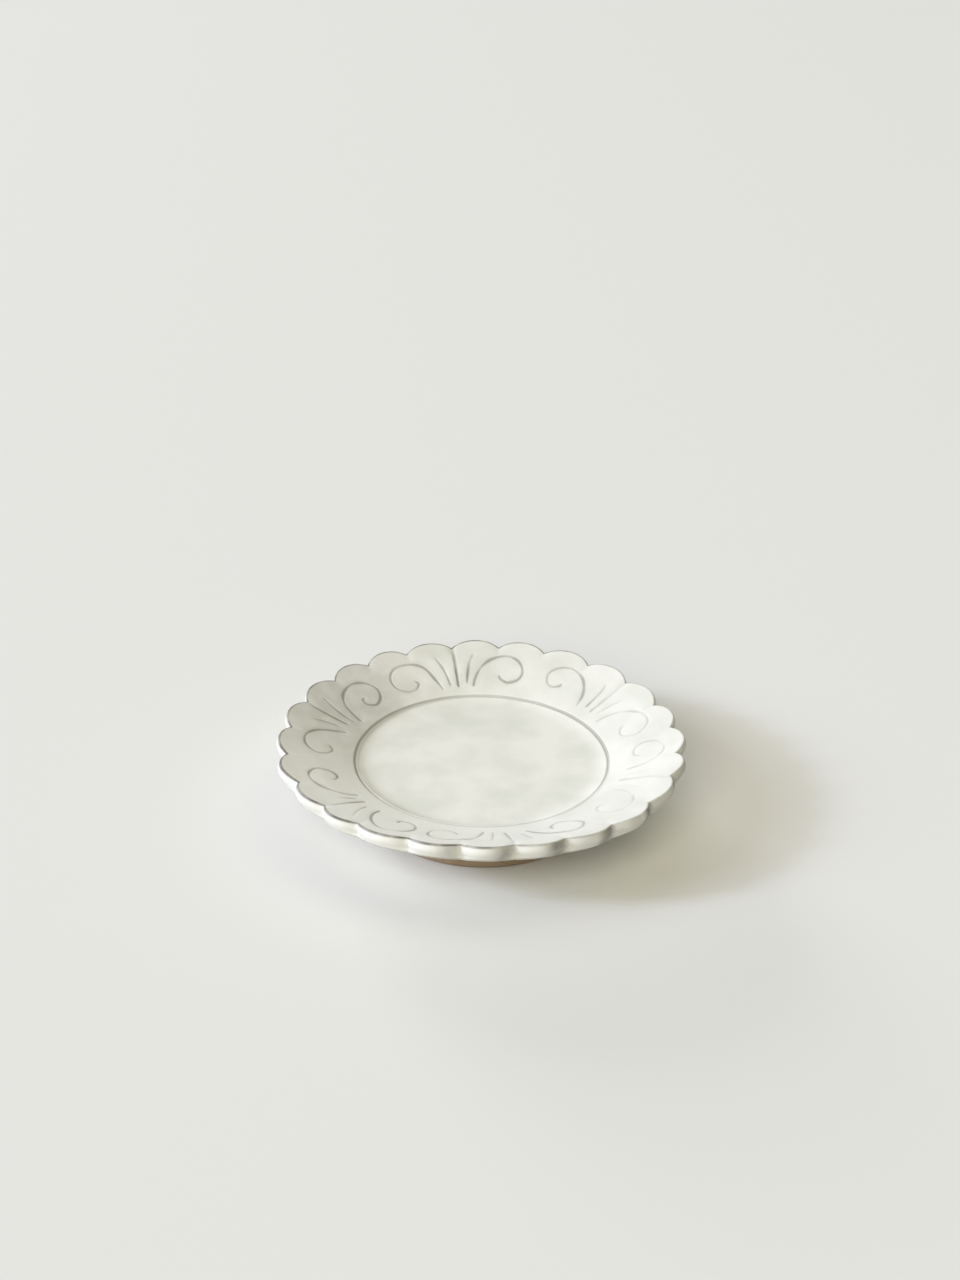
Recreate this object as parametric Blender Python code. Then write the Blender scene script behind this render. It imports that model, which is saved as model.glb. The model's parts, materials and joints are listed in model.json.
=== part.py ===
"""Small footed plate with a lobed rim, in metres, +Z up, standing on z = 0 with its axis on Z.

The plate is two clay pieces: a pressed dish, and a foot ring that is luted to its underside with slip.
The tip of a lobe lies on +X.
"""

import math

import bmesh
import bpy
from mathutils import Vector

# Rim: its lobes run in groups, one group for each palmette carved on the flange.
PALMETTE_COUNT = 6
LOBES_PER_PALMETTE = 4
LOBE_COUNT = PALMETTE_COUNT * LOBES_PER_PALMETTE
RIM_RADIUS = 0.0654  # axis to the tips of the lobes, along the top edge
LOBE_DEPTH = 0.0031  # lobe tip to notch, along the top edge
LOWER_LOBE_DEPTH = 0.0013  # the same along the lower edge
LOBE_FADE = 0.0020  # height above the lower edge over which the lobes fade to that
EDGE_THICKNESS = 0.0058  # height of the outer edge
EDGE_LEAN = 0.0011  # how far the outer edge draws in from top to bottom
EDGE_SWELL = 0.0009  # how far it swells out past the top edge on the way down
SWELL_DROP = 0.0022  # how far below the top edge it swells most
TOP_EDGE_ROUND = 0.0005
SWELL_ROUND = 0.0016
LOWER_EDGE_ROUND = 0.0013

# Flange and well.
FLANGE_RISE = 0.0082  # lip of the well to the lobe tips
WELL_RADIUS = 0.0414  # axis to the lip, where the flange stops at an incised ring
WELL_DEPTH = 0.0019  # lip to the well's floor
COVE_WIDTH = 0.0060  # band where the floor curves up to the ring
COVE_RISE = 0.0010  # how far it has risen there
RING_GROOVE_WIDTH = 0.0012
RING_GROOVE_DEPTH = 0.0002
LIP_ROUND = 0.0003
FLOOR_THICKNESS = 0.0059

# Underside and foot ring.
FOOT_HEIGHT = 0.0099
FOOT_RADIUS = 0.0378  # outside, at the table
FOOT_WIDTH = 0.0048  # across the bottom of the ring
FOOT_FLARE = 0.0009  # how much wider each side of the ring is at the dish
FOOT_ROUND = 0.0010
SEAT_MARGIN = 0.0010  # flat left on the dish outside the foot
SEAT_ROUND = 0.0020
UNDERSIDE_BELLY = 0.0006  # how far the underside bulges below a straight line
SLIP_JOINT = 0.0003  # layer of slip between foot and dish

# Heights and slopes that follow from those sizes.
BASE_HEIGHT = FOOT_HEIGHT + SLIP_JOINT
FLOOR_HEIGHT = BASE_HEIGHT + FLOOR_THICKNESS
LIP_HEIGHT = FLOOR_HEIGHT + WELL_DEPTH
RIM_HEIGHT = LIP_HEIGHT + FLANGE_RISE
FLANGE_SLOPE = FLANGE_RISE / (RIM_RADIUS - WELL_RADIUS)
SEAT_RADIUS = FOOT_RADIUS + FOOT_FLARE + SEAT_MARGIN

# Facets.
LOBE_SEGMENTS = 6
ROUND_STEPS = 2
SMOOTH_ANGLE = math.radians(32)

# Finishes, as linear colours.
GLAZE_COLOUR = (0.78, 0.78, 0.70, 1.0)
GLAZE_ROUGHNESS = 0.35
CLAY_COLOUR = (0.17, 0.10, 0.06, 1.0)
CLAY_ROUGHNESS = 0.90


def clear_scene():
    for old in list(bpy.data.objects):
        bpy.data.objects.remove(old, do_unlink=True)


def fired_finish(name, colour, roughness):
    """A material for a fired clay or glaze surface."""
    finish = bpy.data.materials.new(name)
    finish.use_nodes = True
    shader = finish.node_tree.nodes["Principled BSDF"]
    shader.inputs["Base Color"].default_value = colour
    shader.inputs["Roughness"].default_value = roughness
    shader.inputs["Metallic"].default_value = 0.0
    return finish


def section_point(radius, height, lobe_depth=0.0):
    """A point of a half section through a lobe tip, with how deep the lobes are at that point."""
    return Vector((radius, height, lobe_depth))


def soften(corners):
    """The section through (point, rounding) corners, each corner turned into a short curve."""
    section = [corners[0][0]]
    for (before, _), (corner, rounding), (after, _) in zip(corners, corners[1:], corners[2:]):
        if rounding == 0.0:
            section.append(corner)
            continue
        start = corner + (before - corner).normalized() * min(rounding, (before - corner).length / 2)
        end = corner + (after - corner).normalized() * min(rounding, (after - corner).length / 2)
        for step in range(ROUND_STEPS + 1):
            t = step / ROUND_STEPS
            section.append(start.lerp(corner, t).lerp(corner.lerp(end, t), t))
    section.append(corners[-1][0])
    return section


def lobed_ring(point):
    """One closed ring of the dish: circular arcs that bulge to the section point and meet at notches.

    The ring lies on a cone as steep as the flange, so its notches are lower than its tips.
    """
    tip_radius, height, lobe_depth = point
    half_lobe = math.pi / LOBE_COUNT
    notch = Vector((math.cos(half_lobe), math.sin(half_lobe))) * (tip_radius - lobe_depth)
    arc_centre = (tip_radius**2 - notch.length_squared) / (2 * (tip_radius - notch.x))
    arc_radius = tip_radius - arc_centre
    half_arc = math.atan2(notch.y, notch.x - arc_centre)
    ring = []
    for lobe in range(LOBE_COUNT):
        lobe_middle = 2 * lobe * half_lobe
        for segment in range(LOBE_SEGMENTS):
            around = half_arc * (2 * segment / LOBE_SEGMENTS - 1)
            x = arc_centre + arc_radius * math.cos(around)
            y = arc_radius * math.sin(around)
            radius = math.hypot(x, y)
            angle = lobe_middle + math.atan2(y, x)
            drop = FLANGE_SLOPE * (tip_radius - radius)
            ring.append(Vector((radius * math.cos(angle), radius * math.sin(angle), height - drop)))
    return ring


def lofted_object(name, rings, finish, closed):
    """A solid skinned over rings of points: capped flat at both ends, or closed on itself like a tyre."""
    form = bmesh.new()
    loops = [[form.verts.new(point) for point in ring] for ring in rings]
    pairs = list(zip(loops, loops[1:]))
    if closed:
        pairs.append((loops[-1], loops[0]))
    else:
        form.faces.new(loops[0])
        form.faces.new(loops[-1])
    for lower, upper in pairs:
        for i in range(len(lower)):
            j = (i + 1) % len(lower)
            form.faces.new((lower[i], lower[j], upper[j], upper[i]))
    bmesh.ops.recalc_face_normals(form, faces=form.faces)
    mesh = bpy.data.meshes.new(name)
    form.to_mesh(mesh)
    form.free()
    mesh.shade_smooth()
    mesh.set_sharp_from_angle(angle=SMOOTH_ANGLE)
    mesh.materials.append(finish)
    piece = bpy.data.objects.new(name, mesh)
    bpy.context.scene.collection.objects.link(piece)
    return piece


def dish_section():
    """From the flat seat for the foot, out along the underside, over the edge and in to the well's floor."""
    seat = section_point(SEAT_RADIUS, BASE_HEIGHT)
    lower_edge = section_point(RIM_RADIUS - EDGE_LEAN, RIM_HEIGHT - EDGE_THICKNESS, LOWER_LOBE_DEPTH)
    belly = seat.lerp(lower_edge, 0.5) - Vector((0.0, UNDERSIDE_BELLY, lower_edge.z / 2))
    swell = section_point(RIM_RADIUS + EDGE_SWELL, RIM_HEIGHT - SWELL_DROP, LOBE_DEPTH)
    fade = lower_edge.lerp(swell, LOBE_FADE / (EDGE_THICKNESS - SWELL_DROP))
    fade.z = LOBE_DEPTH
    top_edge = section_point(RIM_RADIUS, RIM_HEIGHT, LOBE_DEPTH)
    mid_flange = section_point((RIM_RADIUS + WELL_RADIUS) / 2, (RIM_HEIGHT + LIP_HEIGHT) / 2)
    lip = section_point(WELL_RADIUS, LIP_HEIGHT)
    cove_top = section_point(WELL_RADIUS - RING_GROOVE_WIDTH, FLOOR_HEIGHT + COVE_RISE)
    groove = section_point(WELL_RADIUS - RING_GROOVE_WIDTH / 2, cove_top.y - RING_GROOVE_DEPTH)
    cove = section_point(cove_top.x - COVE_WIDTH / 2, FLOOR_HEIGHT)
    floor = section_point(cove_top.x - COVE_WIDTH, FLOOR_HEIGHT)
    return soften(
        [
            (seat, 0.0),
            (belly, SEAT_ROUND),
            (lower_edge, LOWER_EDGE_ROUND),
            (fade, 0.0),
            (swell, SWELL_ROUND),
            (top_edge, TOP_EDGE_ROUND),
            (mid_flange, 0.0),
            (lip, LIP_ROUND),
            (groove, 0.0),
            (cove_top, 0.0),
            (cove, COVE_WIDTH / 2),
            (floor, 0.0),
        ]
    )


def foot_section():
    """Round the foot ring: up its outside, across the seat, down its inside and across the bottom."""
    inner_radius = FOOT_RADIUS - FOOT_WIDTH
    bottom_middle = section_point(FOOT_RADIUS - FOOT_WIDTH / 2, 0.0)
    section = soften(
        [
            (bottom_middle, 0.0),
            (section_point(FOOT_RADIUS, 0.0), FOOT_ROUND),
            (section_point(FOOT_RADIUS + FOOT_FLARE, FOOT_HEIGHT), 0.0),
            (section_point(inner_radius - FOOT_FLARE, FOOT_HEIGHT), 0.0),
            (section_point(inner_radius, 0.0), FOOT_ROUND),
            (bottom_middle, 0.0),
        ]
    )
    return section[1:-1]


def main():
    clear_scene()
    glaze = fired_finish("white_glaze", GLAZE_COLOUR, GLAZE_ROUGHNESS)
    clay = fired_finish("bare_clay", CLAY_COLOUR, CLAY_ROUGHNESS)
    lofted_object("dish", [lobed_ring(point) for point in dish_section()], glaze, closed=False)
    lofted_object("foot_ring", [lobed_ring(point) for point in foot_section()], clay, closed=True)


main()
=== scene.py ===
import json
import math

import bpy
from mathutils import Matrix, Vector, kdtree, noise


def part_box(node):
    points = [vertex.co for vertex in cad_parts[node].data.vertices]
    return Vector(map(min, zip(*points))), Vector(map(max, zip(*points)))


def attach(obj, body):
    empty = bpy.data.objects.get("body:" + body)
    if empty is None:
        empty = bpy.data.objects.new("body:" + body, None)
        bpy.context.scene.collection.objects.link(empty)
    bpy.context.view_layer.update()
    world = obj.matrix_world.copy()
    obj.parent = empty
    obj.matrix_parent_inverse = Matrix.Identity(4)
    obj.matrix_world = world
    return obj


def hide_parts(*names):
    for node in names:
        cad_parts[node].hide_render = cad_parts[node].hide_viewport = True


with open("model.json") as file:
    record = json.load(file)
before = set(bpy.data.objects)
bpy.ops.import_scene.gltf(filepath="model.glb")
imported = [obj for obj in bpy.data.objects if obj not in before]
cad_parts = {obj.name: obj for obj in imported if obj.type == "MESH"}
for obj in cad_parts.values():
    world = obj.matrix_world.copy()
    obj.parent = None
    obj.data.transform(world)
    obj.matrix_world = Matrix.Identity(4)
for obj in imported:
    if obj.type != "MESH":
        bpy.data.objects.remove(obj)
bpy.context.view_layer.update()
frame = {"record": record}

mm = 0.001
dishLow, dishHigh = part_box("dish")
_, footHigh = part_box("foot_ring")
wellFloor = next(m["pos_m"][2] for m in frame["record"]["mounts"] if m["name"] == "well_floor")


# small helpers

def hexColour(code):
    channels = [int(code[i:i + 2], 16) / 255 for i in (1, 3, 5)]
    return [c / 12.92 if c <= 0.04045 else ((c + 0.055) / 1.055) ** 2.4 for c in channels] + [1.0]


def addNode(tree, kind, inputs, **settings):
    node = tree.nodes.new(kind)
    for name, value in settings.items():
        setattr(node, name, value)
    for socket, value in inputs.items():
        if isinstance(value, bpy.types.NodeSocket):
            tree.links.new(value, node.inputs[socket])
        else:
            node.inputs[socket].default_value = value
    return node


# sockets of a Mix node that mixes colours
mixA, mixB, mixed = 6, 7, 2


def newMaterial(name):
    material = bpy.data.materials.new(name)
    material.use_nodes = True
    material.node_tree.nodes.clear()
    return material, material.node_tree


def ramp(value, low, high):
    t = min(1.0, max(0.0, (value - low) / (high - low)))
    return t * t * (3 - 2 * t)


# 1 on the side of the plate with that heading in degrees, and -1 on the far side
def facing(angle, side):
    return math.cos(angle - math.radians(side))


# a half section is drawn from corners (radius, height, rounding, longest step on the way there)
def drawSection(corners):
    roundSteps = 6
    places = [Vector(c[:2]) for c in corners]
    section = [places[0]]
    for i in range(1, len(corners)):
        corner, rounding, longestStep = places[i], corners[i][2], corners[i][3]
        bend = [corner]
        if rounding and i + 1 < len(corners):
            start = corner + (places[i - 1] - corner).normalized() * rounding
            end = corner + (places[i + 1] - corner).normalized() * rounding
            shares = [k / roundSteps for k in range(roundSteps + 1)]
            bend = [start.lerp(corner, t).lerp(corner.lerp(end, t), t) for t in shares]
        last = section[-1]
        parts = max(1, math.ceil((bend[0] - last).length / longestStep))
        section += [last.lerp(bend[0], k / parts) for k in range(1, parts)] + bend
    return section


# one point is drawn out along the section and spun about the plate's axis
def turnPiece(name, section, steps, closed):
    mergeDistance = 0.004 * mm
    bpy.ops.object.select_all(action="DESELECT")
    bpy.ops.mesh.primitive_plane_add(size=1 * mm)
    piece = bpy.context.active_object
    piece.name = name
    bpy.ops.object.mode_set(mode="EDIT")
    bpy.ops.mesh.select_mode(type="VERT")
    bpy.ops.mesh.select_all(action="SELECT")
    bpy.ops.mesh.merge(type="CENTER")
    bpy.ops.transform.translate(value=(section[0].x, 0, section[0].y))
    for here, there in zip(section, section[1:] + section[:1] * closed):
        step = (there.x - here.x, 0, there.y - here.y)
        bpy.ops.mesh.extrude_region_move(TRANSFORM_OT_translate={"value": step})
    bpy.ops.mesh.select_all(action="SELECT")
    bpy.ops.mesh.spin(steps=steps, angle=2 * math.pi, center=(0, 0, 0), axis=(0, 0, 1))
    bpy.ops.mesh.select_all(action="SELECT")
    bpy.ops.mesh.remove_doubles(threshold=mergeDistance)
    bpy.ops.mesh.normals_make_consistent(inside=False)
    bpy.ops.object.mode_set(mode="OBJECT")
    return piece


def selectOnly(piece):
    bpy.ops.object.select_all(action="DESELECT")
    piece.select_set(True)
    bpy.context.view_layer.objects.active = piece


# the dish: a lobed slab with a sloping flange and a shallow well; sides are headings in degrees from +X
dishShape = {
    "lobes": 24,
    "stepsPerLobe": 16,
    "rim": dishHigh.x - 0.72 * mm,  # axis to the lobe tips, along the crisp top edge
    "rimHeight": dishHigh.z - 0.02 * mm,
    "crispEdge": 1.2 * mm,  # fine steps run this far in from it
    "lobeDepth": 3.1 * mm,
    "lowerLobeDepth": 1.3 * mm,  # the flutes run out a little above the lower edge
    "fluteFade": 2.0 * mm,
    "edgeHeight": 5.8 * mm,
    "edgeLean": 1.1 * mm,
    "edgeSwell": 0.9 * mm,
    "swellDrop": 2.2 * mm,
    "well": 41.4 * mm,  # axis to the lip of the well
    "lip": wellFloor + 1.9 * mm,
    "grooveWidth": 1.2 * mm,
    "grooveDepth": 0.12 * mm,
    "dishing": 0.6 * mm,  # the floor rises this much from its middle to the cove
    "coveWidth": 6.0 * mm,
    "coveRise": 1.4 * mm,
    "floor": wellFloor,
    "base": dishLow.z,
    "seat": footHigh.x + 1.0 * mm,
    "belly": 0.6 * mm,
    "flatter": 0.25 * mm,  # the floor is flatter, and its cove shorter, at the front left
    "flatterSide": 215,
    "flatterFrom": 16 * mm,
    "flatterFull": 35 * mm,
    "flatterUntil": 37.5 * mm,
    "ringStray": 0.9 * mm,  # the ring is cut a little flat at the front
    "ringStraySide": 275,
    "ringStrayReach": 7 * mm,
    "notchValley": 0.30 * mm,  # soft dip where two lobes meet
    "valleyWidth": 1.6 * mm,
    "valleyReach": 7.0 * mm,
    "valleyCross": 0.3,  # share of the shallower one where a cut crosses it
    "unevenness": 0.07 * mm,  # hand-pressed surface
    "unevenSize": 9 * mm,
    # how far each notch strays from its even place, in degrees, clockwise from the palmette at the back
    "notchDrift": [0.5, 0.5, 0.8, 0.3, -0.5, -1.2, 0, 0.3, 2.2, 0.7, -0.4, -0.5,
                   -0.4, -0.5, -0.4, -1.2, 0.6, 1.0, 0, -0.4, -1.0, -1.3, -0.4, 0.5],
    # and how much farther or less far each lobe reaches than its even length, in mm, likewise
    "lobeStray": [0, 0.3, 0.2, -0.1, -0.6, -0.5, -0.1, -0.1, 0, 0.5, -0.1, -0.8,
                  -1.2, -0.9, 0, 0.7, 0.8, 1.1, 0, -0.1, -0.3, -0.4, -0.4, -0.3],
    "drawnIn": 0.15 * mm,  # taken off every lobe
    "strayShare": 1.9,  # shallow lobes stray less
}
d = dishShape
flangeSlope = (d["rimHeight"] - d["lip"]) / (d["rim"] - d["well"])
midFlange = (d["rim"] + d["well"]) / 2
lowerEdge = Vector((d["rim"] - d["edgeLean"], d["rimHeight"] - d["edgeHeight"]))
lobeAngle = 2 * math.pi / d["lobes"]
firstNotch = math.radians(97.5)  # the notch that the palmette at the back points to


def flangeHeight(radius):
    return d["rimHeight"] - flangeSlope * (d["rim"] - radius)


def onTop(radius, height):
    skin = 0.3 * mm
    return radius > d["well"] and height > flangeHeight(radius) - skin


# the fluted outside of the edge
def onBand(radius, height):
    below = 1 * mm
    return radius > midFlange and height > lowerEdge.y - below and not onTop(radius, height)


def lobeDepthAt(radius, height):
    if onTop(radius, height):
        return d["lobeDepth"] * max(0.0, (radius - midFlange) / (d["rim"] - midFlange))
    if height <= lowerEdge.y:
        return d["lowerLobeDepth"] * max(0.0, (radius - d["seat"]) / (lowerEdge.x - d["seat"]))
    if radius <= midFlange:
        return 0.0
    share = min(1.0, (height - lowerEdge.y) / d["fluteFade"])
    return d["lowerLobeDepth"] + (d["lobeDepth"] - d["lowerLobeDepth"]) * share


# a value of a list that runs round the rim, read between its places
def roundRim(values, place):
    k = math.floor(place)
    here, there = values[k % d["lobes"]], values[(k + 1) % d["lobes"]]
    return here + (there - here) * (place - k)


def driftAt(angle):
    return math.radians(roundRim(d["notchDrift"], (firstNotch - angle) / lobeAngle))


def notchDistance(angle, radius):
    place = (firstNotch - (angle - driftAt(angle))) / lobeAngle
    return abs(place - round(place)) * lobeAngle * radius


# where a point of the turned dish goes: in to its lobe's arc,
# and off the even place as far as its lobe strays
def lobedPlace(radius, angle, height):
    depth = lobeDepthAt(radius, height)
    if depth <= 0:
        return radius, angle, height
    notch = radius - depth
    half = lobeAngle / 2
    centre = (radius ** 2 - notch ** 2) / (2 * (radius - notch * math.cos(half)))
    arc = radius - centre
    off = (angle + half) % lobeAngle - half
    reach = centre * math.cos(off) + math.sqrt(max(0.0, arc ** 2 - (centre * math.sin(off)) ** 2))
    height -= flangeSlope * (radius - reach)
    stray = roundRim(d["lobeStray"], (firstNotch - angle) / lobeAngle - 0.5) * mm
    reach += (stray - d["drawnIn"]) * min(1.0, d["strayShare"] * depth / d["lobeDepth"])
    return reach, angle + driftAt(angle) * min(1.0, depth / d["lowerLobeDepth"]), height


# the carving: six palmettes, each a spine, two rays and two scrolls, as cut with a round gouge
carving = {
    "acrossAt": 53.0 * mm,  # radius where the across sizes are true
    # width and depth in mm and how much grey goes there, glaze grey and painted shade, at the start of a cut
    # and at its end
    "spine": ((2.2, 0.22, 0.3), (1.4, 0.38, 0.95)),
    "ray": ((1.7, 0.17, 0.3), (1.3, 0.22, 0.75)),
    "scroll": ((1.5, 0.25, 0.7), (1.4, 0.25, 0.7)),
    "sampleStep": 0.15,
    "blunt": (-0.2, 1.6),  # a cut rises out of the clay over this length
    "pressure": 0.55,  # and the hand presses unevenly
    "pressureLength": 5,
    # the gouge leans over in the straight cuts, and the clay stands up on one side
    "bank": {"spine": 0.36, "ray": 0.22},
    "bankAside": 1.5,
    "bankReach": 2.1 * mm,
    "shoulder": 0.08 * mm,  # the clay falls gently towards a cut
    "shoulderReach": 2.2 * mm,
    "shoulderFull": 0.2 * mm,  # and less towards a cut that is shallower than this
    "toneEdge": (0.05, 0.6),  # the grey starts and is full at these shares of the cut's depth
    "besideShade": 0.38,  # and painted shade lies beside it, as the cut's shadow on the flange, fading with distance
    "besideShadeReach": 2.3 * mm,
    "fineMesh": (1.9 * mm, 1.25 * mm),  # faces this near a cut are split, once for each
}
# places are (across, out) in mm: along the flange from the palmette's own axis, and from the plate's axis;
# they were read off the photo, laid flat, and shift then sets each palmette right, in mm too;
# turn is in degrees, depth and the grey are shares of a full cut, and the grey, glaze grey with painted shade
# set darker where the cuts lie in shade, is for the left and the right half;
# clockwise from the palmette at the back
palmettes = [
    {"turn": 0.5, "depth": 1.0, "greyAndShade": (1.15, 1.2), "shift": (0.33, -0.1),
     "spine": [(-0.2, 62.4), (0.0, 58.0), (-0.3, 50.0), (-0.5, 44.5)],
     "rays": [[(-6.4, 59.1), (-4.9, 55.0), (-4.0, 50.5), (-3.4, 45.0)],
              [(6.5, 59.4), (5.2, 56.8), (4.1, 52.5), (2.9, 45.5)]],
     "scrolls": [[(-6.6, 44.0), (-8.2, 48.5), (-10.4, 54.5), (-13.6, 57.0), (-17.3, 57.6), (-21.0, 56.7),
                  (-23.8, 53.6), (-24.1, 49.6), (-21.1, 46.8), (-17.6, 46.6), (-15.2, 48.7), (-16.3, 50.5)],
                 [(5.4, 44.6), (6.5, 48.8), (9.0, 54.0), (12.4, 57.4), (16.6, 58.9), (20.5, 57.2),
                  (22.9, 53.0), (22.2, 49.2), (18.6, 47.5), (15.6, 48.9), (15.1, 50.8)]]},
    {"turn": -0.5, "depth": 0.5, "greyAndShade": (1.05, 0.6), "shift": (0.2, -0.1),
     "spine": [(0.1, 62.2), (0.2, 56.0), (0.4, 48.0), (0.5, 45.0)],
     "rays": [[(-5.2, 58.6), (-3.8, 55.2), (-3.2, 50.3), (-2.8, 45.8)],
              [(5.6, 57.0), (4.2, 51.5), (3.3, 45.6)]],
     "scrolls": [[(-6.3, 44.8), (-8.3, 50.3), (-11.6, 54.9), (-15.0, 57.5), (-18.8, 58.6), (-22.4, 57.3),
                  (-24.5, 54.2), (-23.6, 50.6), (-21.1, 49.2), (-18.6, 50.2), (-18.2, 51.9)],
                 [(6.9, 43.6), (7.7, 48.5), (10.2, 53.4), (14.0, 56.4), (17.8, 57.4), (21.4, 56.2),
                  (24.0, 52.4), (23.2, 48.9), (20.5, 47.4), (17.5, 48.7), (16.8, 50.9)]]},
    {"turn": 0.8, "depth": 0.25, "greyAndShade": (0.65, 0.5), "shift": (-0.2, -0.1),
     "spine": [(-0.6, 61.8), (-1.6, 56.0), (-1.3, 50.0), (-1.0, 45.2)],
     "rays": [[(-6.4, 56.0), (-5.2, 51.0), (-4.6, 46.8)],
              [(4.4, 56.0), (3.2, 51.0), (2.4, 45.2)]],
     "scrolls": [[(-8.3, 46.2), (-9.6, 50.6), (-11.6, 54.5), (-14.6, 57.5), (-18.2, 58.6), (-21.8, 56.9),
                  (-23.4, 53.3), (-22.4, 50.3), (-19.4, 49.0), (-16.8, 49.6), (-16.2, 52.0)],
                 [(5.5, 45.6), (6.6, 50.0), (9.8, 54.4), (13.6, 56.8), (17.6, 57.3), (21.2, 55.9),
                  (23.2, 52.6), (22.2, 49.4), (19.4, 47.9), (16.4, 49.1), (15.8, 51.2)]]},
    {"turn": 0, "depth": 0.35, "greyAndShade": (1.15, 0.9), "shift": (-0.44, -0.2),
     "spine": [(0.4, 62.0), (0.4, 58.5), (0.6, 52.0), (1.2, 46.5)],
     "rays": [[(-6.0, 58.0), (-4.9, 53.5), (-3.8, 49.0)],
              [(6.3, 57.5), (5.5, 51.5), (5.1, 45.5)]],
     "scrolls": [[(-6.0, 46.8), (-8.2, 50.6), (-11.7, 54.2), (-14.6, 55.9), (-17.6, 57.1), (-21.4, 56.2),
                  (-24.3, 53.0), (-23.6, 49.8), (-20.6, 47.1), (-17.2, 46.9), (-14.7, 49.0), (-15.2, 51.2)],
                 [(8.1, 45.0), (9.2, 48.6), (11.4, 53.3), (15.0, 55.9), (19.2, 57.4), (22.8, 57.1),
                  (25.4, 53.8), (25.2, 49.6), (22.4, 47.6), (19.0, 47.7), (17.1, 49.5), (17.3, 50.8)]]},
    {"turn": 1.0, "depth": 0.5, "greyAndShade": (1.15, 1.15), "shift": (0.1, -0.1),
     "spine": [(-0.3, 62.0), (0.1, 56.0), (0.3, 50.0), (0.3, 46.5)],
     "rays": [[(-8.2, 59.8), (-6.4, 56.8), (-4.6, 53.0), (-3.4, 49.0)],
              [(4.6, 56.0), (3.4, 52.0), (3.0, 48.0)]],
     "scrolls": [[(-7.4, 46.5), (-8.8, 51.5), (-11.7, 55.9), (-15.2, 58.8), (-18.6, 59.6), (-22.6, 57.6),
                  (-24.8, 53.4), (-23.8, 49.6), (-20.6, 47.6), (-17.6, 48.8), (-18.0, 51.2)],
                 [(5.4, 46.0), (6.2, 49.7), (8.8, 54.0), (12.4, 56.8), (16.6, 58.2), (20.4, 57.1),
                  (22.9, 53.8), (22.2, 49.9), (19.5, 48.4), (16.9, 49.7), (16.2, 51.4)]]},
    {"turn": -1.0, "depth": 0.8, "greyAndShade": (1.2, 1.2), "shift": (0.55, -0.3),
     "spine": [(-0.6, 61.8), (-1.1, 59.0), (-1.3, 52.5), (-1.1, 46.8)],
     "rays": [[(-7.0, 58.0), (-5.4, 53.5), (-4.4, 49.0)],
              [(4.8, 59.8), (3.3, 55.0), (2.1, 49.8), (1.8, 45.4)]],
     "scrolls": [[(-5.8, 45.5), (-7.9, 49.2), (-10.6, 53.4), (-14.0, 56.3), (-18.0, 57.4), (-21.8, 56.5),
                  (-24.4, 53.3), (-23.4, 49.8), (-20.8, 48.3), (-18.6, 49.0), (-17.8, 50.0)],
                 [(4.4, 44.2), (5.6, 48.0), (7.6, 52.9), (11.2, 56.2), (16.4, 57.6), (20.6, 56.2),
                  (23.0, 52.2), (21.4, 48.4), (17.7, 46.8), (14.8, 48.2), (14.7, 50.5), (16.6, 51.3)]]},
]


# the points of a stroke after its palmette's shift, to a tenth of a millimetre
def shifted(points, plan):
    return [[round(place + move, 1) for place, move in zip(point, plan["shift"])] for point in points]


# a smooth line through a stroke's points
def strokePath(points, steps=14):
    points = [Vector(p) for p in points]
    points = [points[0] * 2 - points[1]] + points + [points[-1] * 2 - points[-2]]
    path = [points[1]]
    for a, b, c, e in zip(points, points[1:], points[2:], points[3:]):
        for k in range(1, steps + 1):
            t = k / steps
            path.append((b * 2 + (c - a) * t + (a * 2 - b * 5 + c * 4 - e) * t ** 2
                         + (b * 3 - a - c * 3 + e) * t ** 3) / 2)
    return path


# even samples along a path, each with the half width, depth and greyness of the cut there
def cutSamples(path, cut, plan):
    lengths = [(b - a).length for a, b in zip(path, path[1:])]
    total = sum(lengths)
    count = max(2, int(total / carving["sampleStep"]))
    start, end = Vector(cut[0]), Vector(cut[1])
    k, walked = 0, 0.0
    for i in range(count + 1):
        along = total * i / count
        while k < len(lengths) - 1 and walked + lengths[k] < along:
            walked += lengths[k]
            k += 1
        point = path[k].lerp(path[k + 1], (along - walked) / lengths[k])
        width, depth, grey = start.lerp(end, along / total)
        rise = ramp(along, *carving["blunt"]) * ramp(total - along, *carving["blunt"])
        tremor = noise.noise(Vector((point.x, point.y, path[0].x)) / carving["pressureLength"])
        hand = rise * (1 + carving["pressure"] * tremor)
        # the grey for this half, partly painted shade, darker where the cuts lie in shade
        greyAndShade = plan["greyAndShade"][point.x > 0]
        halfWidth = width / 2 * mm * (0.5 + 0.5 * hand)
        yield point, halfWidth, depth * plan["depth"] * hand * mm, grey * greyAndShade * hand


def onFlange(point, axis):
    angle = axis - point.x * mm / carving["acrossAt"]
    return Vector((math.cos(angle), math.sin(angle), 0)) * point.y * mm


def carvedLines():
    lines, banks = [], []
    for k, plan in enumerate(palmettes):
        axis = firstNotch - k * 2 * math.pi / len(palmettes)
        axis += math.radians(plan["turn"])
        strokes = [(plan["spine"], "spine")] + [(ray, "ray") for ray in plan["rays"]]
        strokes += [(scroll, "scroll") for scroll in plan["scrolls"]]
        for points, kind in strokes:
            path = strokePath(shifted(points, plan))
            for point, halfWidth, depth, grey in cutSamples(path, carving[kind], plan):
                lines.append((onFlange(point, axis), halfWidth, depth, grey))
                if kind in carving["bank"]:
                    rise = carving["bank"][kind] * depth / carving[kind][1][1]
                    banks.append((onFlange(point - Vector((carving["bankAside"], 0)), axis), rise))
    return lines, banks


def searchTree(samples):
    tree = kdtree.KDTree(len(samples))
    for i, sample in enumerate(samples):
        tree.insert(sample[0], i)
    tree.balance()
    return tree


cutLines, bankLines = carvedLines()
widestCut = max(line[1] for line in cutLines)
cutTree, bankTree = searchTree(cutLines), searchTree(bankLines)
print("carving laid out:", len(cutLines), "samples")
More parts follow.
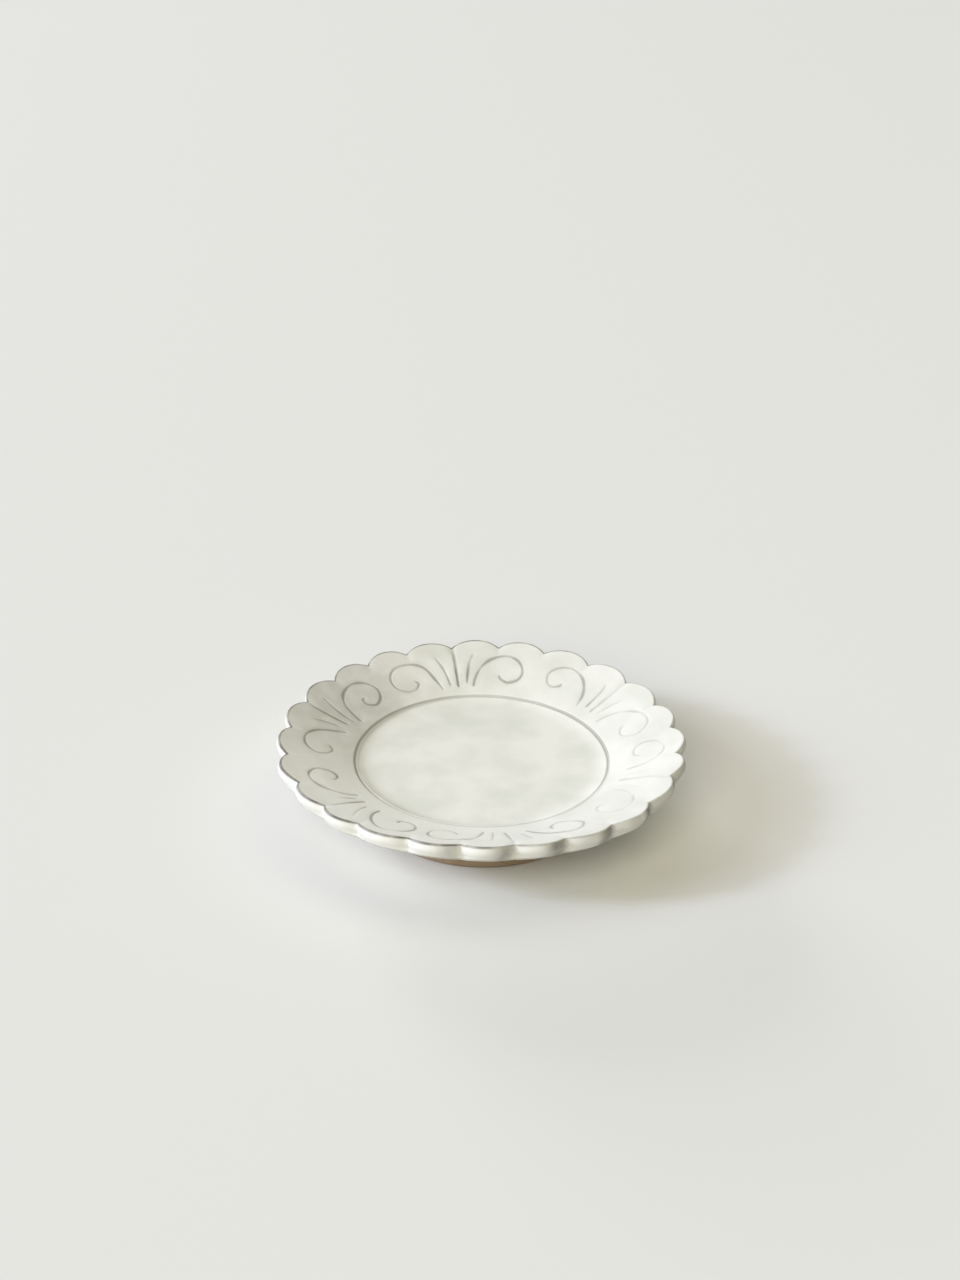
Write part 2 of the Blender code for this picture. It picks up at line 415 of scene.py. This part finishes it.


# depth of the carving at a place on the flange, and the grey there: glaze grey with painted shade in and
# beside the cuts
def cutAt(x, y):
    c = carving
    spot = Vector((x, y, 0))
    _, nearest, distance = cutTree.find(spot)
    depth = c["shoulder"] * math.exp(-(distance / c["shoulderReach"]) ** 2)
    depth *= min(1.0, cutLines[nearest][2] / c["shoulderFull"])
    grey = c["besideShade"] * cutLines[nearest][3] * math.exp(-(distance / c["besideShadeReach"]) ** 2)
    deepest = bank = 0.0
    for _, i, distance in cutTree.find_range(spot, widestCut):
        _, halfWidth, cut, tone = cutLines[i]
        if distance < halfWidth:
            share = (1 - (distance / halfWidth) ** 2) ** 2
            deepest = max(deepest, cut * share)
            grey = max(grey, tone * ramp(share, *c["toneEdge"]))
    for _, i, distance in bankTree.find_range(spot, c["bankReach"]):
        bank = max(bank, bankLines[i][1] * (1 - (distance / c["bankReach"]) ** 2) ** 2)
    return depth + deepest - bank, grey


# faces beside a cut are split, so that the gouge marks stay crisp
def refineBesideCuts(piece, reach):
    bpy.ops.object.mode_set(mode="EDIT")
    bpy.ops.mesh.select_mode(type="FACE")
    bpy.ops.mesh.select_all(action="DESELECT")
    bpy.ops.object.mode_set(mode="OBJECT")
    for face in piece.data.polygons:
        x, y, z = face.center
        radius = math.hypot(x, y)
        if onTop(radius, z):
            radius, angle, z = lobedPlace(radius, math.atan2(y, x), z)
            spot = Vector((radius * math.cos(angle), radius * math.sin(angle), 0))
            face.select = cutTree.find(spot)[2] < reach
    bpy.ops.object.mode_set(mode="EDIT")
    bpy.ops.mesh.subdivide(number_cuts=1)
    bpy.ops.object.mode_set(mode="OBJECT")


# how the glaze lies on the dish: sides are headings in degrees from +X, tones are shares of the full tone;
# a fade is where a tone starts to thin out and where it is gone,
# and a turn is where it starts and where it is full, as the cosine of the angle from its side
glazeRuns = {
    "shadedSide": 150,  # painted shade is strongest towards the back left
    "paintedLightSide": 228,  # and painted light, a paler tone, at the front left
    # grey in the ring all round; more at the shaded back left, a painted shadow of the lip over the cove; and
    # more at the right, painted shade that dulls the wall where it faces the lamps
    "ringTone": 0.45,
    "ringShadeTone": 0.45,
    "ringLitSide": 25,
    "ringLitSideShade": 0.5,
    "ringInside": 0.6 * mm,  # it is full this far inside the lip
    "ringReach": 1.0 * mm,
    "ringShadowReach": 2.4 * mm,
    # grey painted on the lip at the front, where the lip hides the ring's groove: a line standing for the
    # ring's grey line and the shade in its groove, and a wider painted shade, each a tone and its reach
    "lipSide": 282,
    "lipLine": (0.55, 0.9 * mm),
    "lipShade": (0.25, 2.2 * mm),
    # brown along the top edge, darkest at the left
    "edgeFade": (0.35 * mm, 0.9 * mm),
    "edgeSide": 165,
    "edgeLeast": 0.4,
    "edgeTurn": (-0.9, 0.1),
    # brown round the seat of the foot, and under the lower edge
    "seatHeight": 1.5 * mm,
    "seatFade": (0.2 * mm, 1.6 * mm),
    "underTone": 0.5,
    "underFade": (0.5 * mm, 1.1 * mm),
    # brown on the flange: a faint tone that grows towards the right, and painted shade at the shaded side
    "flangeTone": 0.03,
    "flangeShadeTone": 0.32,
    # brown painted as shade on the band: in the flutes at the front right, more on the flank that faces away
    # from the lamps, and over all of it at the right, where the band faces away from them
    "fluteSide": 330,
    "fluteShade": 0.9,
    "fluteTurn": (0.0, 0.8),
    "fluteLean": math.radians(3.0),
    "fluteWidth": 3.9 * mm,
    "leanSide": 345,
    "leanShade": 0.42,
    "bandPale": 0.5,
}


# grey in the ring, with the lip's painted shadow at the back left and painted shade at the right
def ringGreyAndShade(turned, angle):
    g = glazeRuns
    shadedShare = max(0.0, facing(angle, g["shadedSide"]))
    reach = g["ringReach"] + g["ringShadowReach"] * shadedShare ** 3
    tone = g["ringTone"] + g["ringShadeTone"] * shadedShare ** 2
    tone += g["ringLitSideShade"] * max(0.0, facing(angle, g["ringLitSide"])) ** 2
    full = d["well"] - g["ringInside"]
    return tone * ramp(turned, full - reach, full)


# grey painted on the lip at the front where it hides the ring, as a line and a wider shade
def lipLineAndShade(turned, angle):
    tones = [tone * (1 - ramp(turned, d["well"], d["well"] + reach))
             for tone, reach in (glazeRuns["lipLine"], glazeRuns["lipShade"])]
    return sum(tones) * (0.5 + 0.5 * facing(angle, glazeRuns["lipSide"])) ** 3


# brown where the glaze ran thin at the edges and the seat, together with painted shade on the flange and the
# band
def thinGlazeAndShadeAt(turned, z, radius, angle):
    g = glazeRuns
    fromTop = math.hypot(turned - d["rim"], z - d["rimHeight"])
    fromBottom = math.hypot(turned - lowerEdge.x, z - lowerEdge.y)
    bare = g["edgeLeast"] + (1 - g["edgeLeast"]) * ramp(facing(angle, g["edgeSide"]), *g["edgeTurn"])
    tones = [bare * (1 - ramp(fromTop, *g["edgeFade"]))]
    tones.append(g["underTone"] * (1 - ramp(fromBottom, *g["underFade"])))
    if z < d["base"] + g["seatHeight"]:
        tones.append(1 - ramp(abs(turned - d["seat"]), *g["seatFade"]))
    if onTop(turned, z):
        shadedShare = max(0.0, facing(angle, g["shadedSide"]))
        tones.append(g["flangeTone"] * (1 + math.cos(angle)) + g["flangeShadeTone"] * shadedShare ** 6)
    # painted shade on the band: on the flutes' flanks that face away from the lamps, and over the band at the
    # right
    if onBand(turned, z):
        flute = math.exp(-(notchDistance(angle + g["fluteLean"], radius) / g["fluteWidth"]) ** 2)
        tones.append(g["fluteShade"] * flute * ramp(facing(angle, g["fluteSide"]), *g["fluteTurn"]))
        tones.append(g["leanShade"] * max(0.0, facing(angle, g["leanSide"])) ** 2)
    return max(tones)


# a paler tone over the band, and painted light on the flange at the front left
def paleAndLitGlazeAt(turned, z, angle):
    if onBand(turned, z):
        return glazeRuns["bandPale"]
    return max(0.0, facing(angle, glazeRuns["paintedLightSide"])) ** 2 if onTop(turned, z) else 0.0


def dishSection():
    coveTop = d["well"] - d["grooveWidth"]
    coveTopHeight = d["floor"] + d["coveRise"]
    middle = (Vector((d["seat"], d["base"])) + lowerEdge) / 2
    inner = d["rim"] - d["crispEdge"]
    return drawSection([
        (0, d["base"], 0, mm),
        (d["seat"], d["base"], 0.6 * mm, 8 * mm),
        (middle.x, middle.y - d["belly"], 6 * mm, 2.5 * mm),
        (lowerEdge.x, lowerEdge.y, 1.3 * mm, 2.0 * mm),
        (d["rim"] + d["edgeSwell"], d["rimHeight"] - d["swellDrop"], 1.2 * mm, 0.6 * mm),
        (d["rim"], d["rimHeight"], 0.45 * mm, 0.3 * mm),
        (inner, flangeHeight(inner), 0, 0.25 * mm),
        (d["well"], d["lip"], 0.28 * mm, 1.0 * mm),
        (d["well"] - d["grooveWidth"] / 2, coveTopHeight - d["grooveDepth"], 0.2 * mm, 0.15 * mm),
        (coveTop, coveTopHeight, 0.25 * mm, 0.2 * mm),
        (coveTop - d["coveWidth"] / 2, d["floor"] + d["dishing"], 2.6 * mm, 0.5 * mm),
        (d["well"] / 2, d["floor"] + 0.1 * d["dishing"], 12 * mm, 2 * mm),
        (0, d["floor"], 0, 3 * mm),
    ])


def makeDish():
    dish = turnPiece("glazed_dish", dishSection(), d["lobes"] * d["stepsPerLobe"], False)
    print("dish turned:", len(dish.data.vertices), "points")
    for reach in carving["fineMesh"]:
        refineBesideCuts(dish, reach)
    print("dish refined:", len(dish.data.vertices), "points")

    upperSide = d["floor"] - 0.1 * mm
    mesh = dish.data
    # grey of the cuts, partly painted shade
    carve = mesh.attributes.new("carve", "FLOAT", "POINT")
    # brown of thin glaze, with painted shade
    thin = mesh.attributes.new("thinGlazeAndShade", "FLOAT", "POINT")
    # a paler tone, with painted light
    paleAndLit = mesh.attributes.new("paleAndLitGlaze", "FLOAT", "POINT")
    for i, vertex in enumerate(mesh.vertices):
        x, y, z = vertex.co
        turned = math.hypot(x, y)
        radius, angle, height = lobedPlace(turned, math.atan2(y, x), z)
        if z > upperSide:
            nearRing = ramp(d["ringStrayReach"] - abs(turned - d["well"]), 0, d["ringStrayReach"])
            radius -= d["ringStray"] * (max(0.0, facing(angle, d["ringStraySide"])) ** 2 * nearRing)
        x, y = radius * math.cos(angle), radius * math.sin(angle)
        grey = 0.0
        if onTop(turned, z):
            depth, grey = cutAt(x, y)
            valley = d["notchValley"] * math.exp(-(notchDistance(angle, radius) / d["valleyWidth"]) ** 2)
            valley *= ramp(turned, d["rim"] - d["valleyReach"], d["rim"])
            height -= max(depth, valley) + d["valleyCross"] * min(depth, valley)
            grey = max(grey, lipLineAndShade(turned, angle))
        elif z > d["floor"] and turned < d["well"]:
            grey = ringGreyAndShade(turned, angle)
            lower = ramp(turned, d["flatterFrom"], d["flatterFull"])
            lower *= 1 - ramp(turned, d["flatterUntil"], d["well"] - d["grooveWidth"])
            height -= d["flatter"] * lower * (0.5 + 0.5 * facing(angle, d["flatterSide"]))
        if z > upperSide:
            height += d["unevenness"] * (noise.noise(Vector((x, y, 0)) / d["unevenSize"]) - 0.5)
        carve.data[i].value = min(1.0, grey)
        thin.data[i].value = thinGlazeAndShadeAt(turned, z, radius, angle)
        paleAndLit.data[i].value = paleAndLitGlazeAt(turned, z, angle)
        vertex.co = (x, y, height)
    selectOnly(dish)
    bpy.ops.object.shade_smooth()
    return dish


# glazed stoneware: an opaque, off-white satin glaze, cloudy where it lay thicker,
# grey in the cut lines and brown where it ran thin over the edges;
# painted shade is mixed into the grey and the brown, and painted light into a paler tone
glazeLook = {
    "body": "#e9eae2",
    # a paler tone: over the band, and painted light on the flange at the front left
    "paleAndLit": "#eeefe8",
    "cloud": "#dcded4",
    # grey of the cut lines, glaze grey with painted shade in and beside the cuts
    "line": "#8f8f83",
    # brown of thin glaze, also used for painted shade on the flange and band
    "edge": "#69655a",
    "cloudSize": 16 * mm,
    "cloudRange": (0.38, 0.66),
    "lineRange": (0.1, 1.0),
    "lineMost": 0.7,
    "patchSize": 5 * mm,  # the brown, painted shade included, is patchy
    "patchRange": (0.3, 0.6),
    "patchShare": (0.55, 0.95),
    "glossRange": (0.3, 0.7),
    "roughness": (0.5, 0.6),
    "lineRoughness": 0.25,  # on top of that, in the cut lines
    "peelSize": 1.4 * mm,
    "peelDepth": 0.04 * mm,
    "peelStrength": 0.35,
    "ior": 1.5,
    "specular": 0.35,
}


def satinGlaze():
    g = glazeLook
    material, tree = newMaterial("satin_white_glaze")
    spot = addNode(tree, "ShaderNodeTexCoord", {}).outputs["Object"]
    clouds = addNode(tree, "ShaderNodeTexNoise", {
        "Vector": spot, "Scale": 1 / g["cloudSize"], "Detail": 3.0, "Roughness": 0.5})
    cloudiness = addNode(tree, "ShaderNodeMapRange", {
        "Value": clouds.outputs["Fac"], "From Min": g["cloudRange"][0], "From Max": g["cloudRange"][1]})
    body = addNode(tree, "ShaderNodeMix", {
        "Factor": cloudiness.outputs["Result"],
        mixA: hexColour(g["body"]), mixB: hexColour(g["cloud"])}, data_type="RGBA")
    # paler tone: over the band, and painted light on the flange at the front left
    paleAndLit = addNode(tree, "ShaderNodeAttribute", {}, attribute_name="paleAndLitGlaze")
    body = addNode(tree, "ShaderNodeMix", {
        "Factor": paleAndLit.outputs["Fac"],
        mixA: body.outputs[mixed], mixB: hexColour(g["paleAndLit"])}, data_type="RGBA")
    # the grey of the cuts, partly painted shade
    carve = addNode(tree, "ShaderNodeAttribute", {}, attribute_name="carve")
    lineShare = addNode(tree, "ShaderNodeMapRange", {
        "Value": carve.outputs["Fac"], "From Min": g["lineRange"][0], "From Max": g["lineRange"][1],
        "To Max": g["lineMost"]}, interpolation_type="SMOOTHSTEP")
    lined = addNode(tree, "ShaderNodeMix", {
        "Factor": lineShare.outputs["Result"],
        mixA: body.outputs[mixed], mixB: hexColour(g["line"])}, data_type="RGBA")
    # brown of thin glaze, with painted shade on the flange and band
    thin = addNode(tree, "ShaderNodeAttribute", {}, attribute_name="thinGlazeAndShade")
    patches = addNode(tree, "ShaderNodeTexNoise", {
        "Vector": spot, "Scale": 1 / g["patchSize"], "Detail": 2.0})
    patchy = addNode(tree, "ShaderNodeMapRange", {
        "Value": patches.outputs["Fac"], "From Min": g["patchRange"][0], "From Max": g["patchRange"][1],
        "To Min": g["patchShare"][0], "To Max": g["patchShare"][1]})
    brownAndShadeShare = addNode(tree, "ShaderNodeMath", {
        0: thin.outputs["Fac"], 1: patchy.outputs["Result"]}, operation="MULTIPLY")
    brownedAndShaded = addNode(tree, "ShaderNodeMix", {
        "Factor": brownAndShadeShare.outputs["Value"],
        mixA: lined.outputs[mixed], mixB: hexColour(g["edge"])}, data_type="RGBA")
    gloss = addNode(tree, "ShaderNodeMapRange", {
        "Value": clouds.outputs["Fac"], "From Min": g["glossRange"][0], "From Max": g["glossRange"][1],
        "To Min": g["roughness"][0], "To Max": g["roughness"][1]})
    gloss = addNode(tree, "ShaderNodeMath", {
        0: carve.outputs["Fac"], 1: g["lineRoughness"], 2: gloss.outputs["Result"]}, operation="MULTIPLY_ADD")
    peel = addNode(tree, "ShaderNodeTexNoise", {
        "Vector": spot, "Scale": 1 / g["peelSize"], "Detail": 2.0})
    bump = addNode(tree, "ShaderNodeBump", {
        "Height": peel.outputs["Fac"], "Strength": g["peelStrength"], "Distance": g["peelDepth"]})
    shader = addNode(tree, "ShaderNodeBsdfPrincipled", {
        "Base Color": brownedAndShaded.outputs[mixed], "Roughness": gloss.outputs["Value"], "IOR": g["ior"],
        "Specular IOR Level": g["specular"], "Normal": bump.outputs["Normal"]})
    addNode(tree, "ShaderNodeOutputMaterial", {"Surface": shader.outputs["BSDF"]})
    return material


# the foot: a turned ring of bare clay, luted on
footShape = {
    "outside": footHigh.x - 1.5 * mm,  # at the table
    "width": 4.8 * mm,
    "flare": 1.5 * mm,
    "waist": (0.6, 0.2 * mm),  # share of the height, and how far it has flared there
    "jointRoom": 0.03 * mm,
    "height": footHigh.z,
    "edgeRound": 1.8 * mm,
    "steps": 192,
    "turnMarks": 0.05 * mm,
    "markSpacing": 1.1 * mm,
    "unevenness": 0.06 * mm,
    "unevenSize": 4 * mm,
    "markFade": (0.2 * mm, 1.2 * mm),  # the marks leave out the foot's edge and the joint
    "jointFade": (0.1 * mm, 1.0 * mm),
    "smoothAngle": 40,
}


def makeFoot():
    f = footShape
    inside = f["outside"] - f["width"]
    bottom = (f["outside"] + inside) / 2
    waist, waistFlare = f["height"] * f["waist"][0], f["waist"][1]
    section = drawSection([
        (bottom, 0, 0, mm),
        (f["outside"], 0, f["edgeRound"], 0.6 * mm),
        (f["outside"] + waistFlare, waist, 2.0 * mm, 0.4 * mm),
        (f["outside"] + f["flare"] - f["jointRoom"], f["height"], 0.15 * mm, 0.4 * mm),
        (inside - f["flare"], f["height"], 0.15 * mm, 2.0 * mm),
        (inside - waistFlare, waist, 2.0 * mm, 0.4 * mm),
        (inside, 0, f["edgeRound"], 0.4 * mm),
        (bottom + 0.01 * mm, 0, 0, 0.6 * mm),
    ])
    foot = turnPiece("bare_foot", section[:-1], f["steps"], True)
    for vertex in foot.data.vertices:
        x, y, z = vertex.co
        radius = math.hypot(x, y)
        outward = 1 if radius > bottom else -1
        marks = f["turnMarks"] * (math.sin(2 * math.pi * z / f["markSpacing"]) - 1)
        marks += f["unevenness"] * (noise.noise(vertex.co / f["unevenSize"]) - 1)
        marks *= ramp(z, *f["markFade"]) * ramp(f["height"] - z, *f["jointFade"])
        vertex.co.x += x / radius * outward * marks
        vertex.co.y += y / radius * outward * marks
    selectOnly(foot)
    bpy.ops.object.shade_smooth_by_angle(angle=math.radians(f["smoothAngle"]))
    return foot


# bare stoneware: fired brown clay, dry and matt, with darker grog grains
clayLook = {
    "body": "#b09a80",
    "dark": "#8f7861",
    "grain": "#6b5742",
    "toneSize": 7 * mm,
    "grainSize": 0.5 * mm,
    "grainRange": (0.62, 0.72),
    "grainMost": 0.6,
    "grainDepth": 0.06 * mm,
    "grainStrength": 0.6,
    "roughness": 0.88,
    "ior": 1.5,
}


def bareClay():
    c = clayLook
    material, tree = newMaterial("bare_stoneware")
    spot = addNode(tree, "ShaderNodeTexCoord", {}).outputs["Object"]
    tone = addNode(tree, "ShaderNodeTexNoise", {
        "Vector": spot, "Scale": 1 / c["toneSize"], "Detail": 4.0})
    body = addNode(tree, "ShaderNodeMix", {
        "Factor": tone.outputs["Fac"],
        mixA: hexColour(c["body"]), mixB: hexColour(c["dark"])}, data_type="RGBA")
    grain = addNode(tree, "ShaderNodeTexNoise", {
        "Vector": spot, "Scale": 1 / c["grainSize"], "Detail": 2.0})
    grains = addNode(tree, "ShaderNodeMapRange", {
        "Value": grain.outputs["Fac"], "From Min": c["grainRange"][0], "From Max": c["grainRange"][1],
        "To Max": c["grainMost"]})
    speckled = addNode(tree, "ShaderNodeMix", {
        "Factor": grains.outputs["Result"],
        mixA: body.outputs[mixed], mixB: hexColour(c["grain"])}, data_type="RGBA")
    bump = addNode(tree, "ShaderNodeBump", {
        "Height": grain.outputs["Fac"], "Strength": c["grainStrength"], "Distance": c["grainDepth"]})
    shader = addNode(tree, "ShaderNodeBsdfPrincipled", {
        "Base Color": speckled.outputs[mixed], "Roughness": c["roughness"], "IOR": c["ior"],
        "Normal": bump.outputs["Normal"]})
    addNode(tree, "ShaderNodeOutputMaterial", {"Surface": shader.outputs["BSDF"]})
    return material


dish = makeDish()
dish.data.materials.append(satinGlaze())
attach(dish, "root")
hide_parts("dish")
print("dish done")

foot = makeFoot()
foot.data.materials.append(bareClay())
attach(foot, "root")
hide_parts("foot_ring")
print("foot done")


# floor: a matt, pale tabletop
floorLook = {"size": 8.0, "colour": "#e3e4e1", "roughness": 0.95, "specular": 0.1}


def makeFloor():
    bpy.ops.object.select_all(action="DESELECT")
    bpy.ops.mesh.primitive_plane_add(size=floorLook["size"], location=(0, 0, 0))
    floor = bpy.context.active_object
    floor.name = "floor"
    material, tree = newMaterial("matt_pale_table")
    shader = addNode(tree, "ShaderNodeBsdfPrincipled", {
        "Base Color": hexColour(floorLook["colour"]), "Roughness": floorLook["roughness"],
        "Specular IOR Level": floorLook["specular"]})
    addNode(tree, "ShaderNodeOutputMaterial", {"Surface": shader.outputs["BSDF"]})
    floor.data.materials.append(material)


# light: soft boxes far away, so that the table is lit evenly; heading, height and spread are in degrees,
# and strength is what a white card facing the box returns
softBoxes = {
    "window_box": {"heading": 190, "height": 26, "spread": 9, "strength": 0.42, "colour": "#dae1ff"},
    "left_box": {"heading": 190, "height": 30, "spread": 30, "strength": 0.43, "colour": "#e8edff"},
    "back_left_box": {"heading": 116, "height": 12, "spread": 18, "strength": 0.46, "colour": "#fefeff"},
    "front_box": {"heading": 252, "height": 35, "spread": 36, "strength": 0.575, "colour": "#fff8e6"},
    "high_right_box": {"heading": 18, "height": 62, "spread": 40, "strength": 0.17, "colour": "#fff9d7"},
    "high_back_box": {"heading": 110, "height": 62, "spread": 40, "strength": 0.15, "colour": "#fdfeff"},
}
roomLook = {
    "boxDistance": 20.0,
    "fill": "#fff6e4",
    "fillStrength": 0.08,
    "reflected": 0.12,  # more of the fill shows in reflections
    "backdrop": "#e2e3df",
}


def makeLight():
    far = roomLook["boxDistance"]
    for name, plan in softBoxes.items():
        heading, height = math.radians(plan["heading"]), math.radians(plan["height"])
        level = math.cos(height)
        aim = Vector((level * math.cos(heading), level * math.sin(heading), math.sin(height)))
        bpy.ops.object.light_add(type="AREA", location=aim * far)
        box = bpy.context.active_object
        box.name = name
        box.rotation_euler = aim.to_track_quat("Z", "Y").to_euler()
        box.data.shape = "DISK"
        box.data.size = 2 * far * math.tan(math.radians(plan["spread"] / 2))
        box.data.energy = plan["strength"] * (math.pi * far) ** 2
        box.data.color = hexColour(plan["colour"])[:3]

    world = bpy.data.worlds.new("studio")
    bpy.context.scene.world = world
    world.use_nodes = True
    tree = world.node_tree
    tree.nodes.clear()
    path = addNode(tree, "ShaderNodeLightPath", {})
    strength = addNode(tree, "ShaderNodeMath", {
        0: path.outputs["Is Glossy Ray"], 1: roomLook["reflected"], 2: roomLook["fillStrength"]},
        operation="MULTIPLY_ADD")
    fill = addNode(tree, "ShaderNodeBackground", {
        "Color": hexColour(roomLook["fill"]), "Strength": strength.outputs["Value"]})
    backdrop = addNode(tree, "ShaderNodeBackground", {
        "Color": hexColour(roomLook["backdrop"]), "Strength": 1.0})
    both = addNode(tree, "ShaderNodeMixShader", {
        0: path.outputs["Is Camera Ray"], 1: fill.outputs["Background"], 2: backdrop.outputs["Background"]})
    addNode(tree, "ShaderNodeOutputWorld", {"Surface": both.outputs["Shader"]})


# camera: where the photo was taken from, with the image as 960 by 1280
cameraPlan = {
    "away": 647.6 * mm,
    "above": 412.4 * mm,
    "heading": -2.4,  # degrees round from -Y
    "turn": 0.119,
    "tilt": 28.47,  # degrees down
    "roll": 1.13,
    "focalPixels": 2349.2,
    "imageHeight": 1280,
    "sensor": 36.0,
    "nearest": 10 * mm,
}


def makeCamera():
    c = cameraPlan
    heading = math.radians(c["heading"])
    data = bpy.data.cameras.new("photo_camera")
    camera = bpy.data.objects.new("photo_camera", data)
    bpy.context.scene.collection.objects.link(camera)
    data.sensor_width = c["sensor"]
    data.lens = c["focalPixels"] / c["imageHeight"] * data.sensor_width
    spin = Matrix.Rotation(heading + math.radians(c["turn"]), 4, "Z")
    tilt = Matrix.Rotation(math.radians(90 - c["tilt"]), 4, "X")
    roll = Matrix.Rotation(math.radians(c["roll"]), 4, "Z")
    place = Matrix.Translation((math.sin(heading) * c["away"], -math.cos(heading) * c["away"], c["above"]))
    camera.matrix_world = place @ spin @ tilt @ roll
    data.clip_start = c["nearest"]
    bpy.context.scene.camera = camera


makeFloor()
makeLight()
makeCamera()
bpy.context.scene.view_settings.view_transform = "Standard"
print("floor, light and camera done")
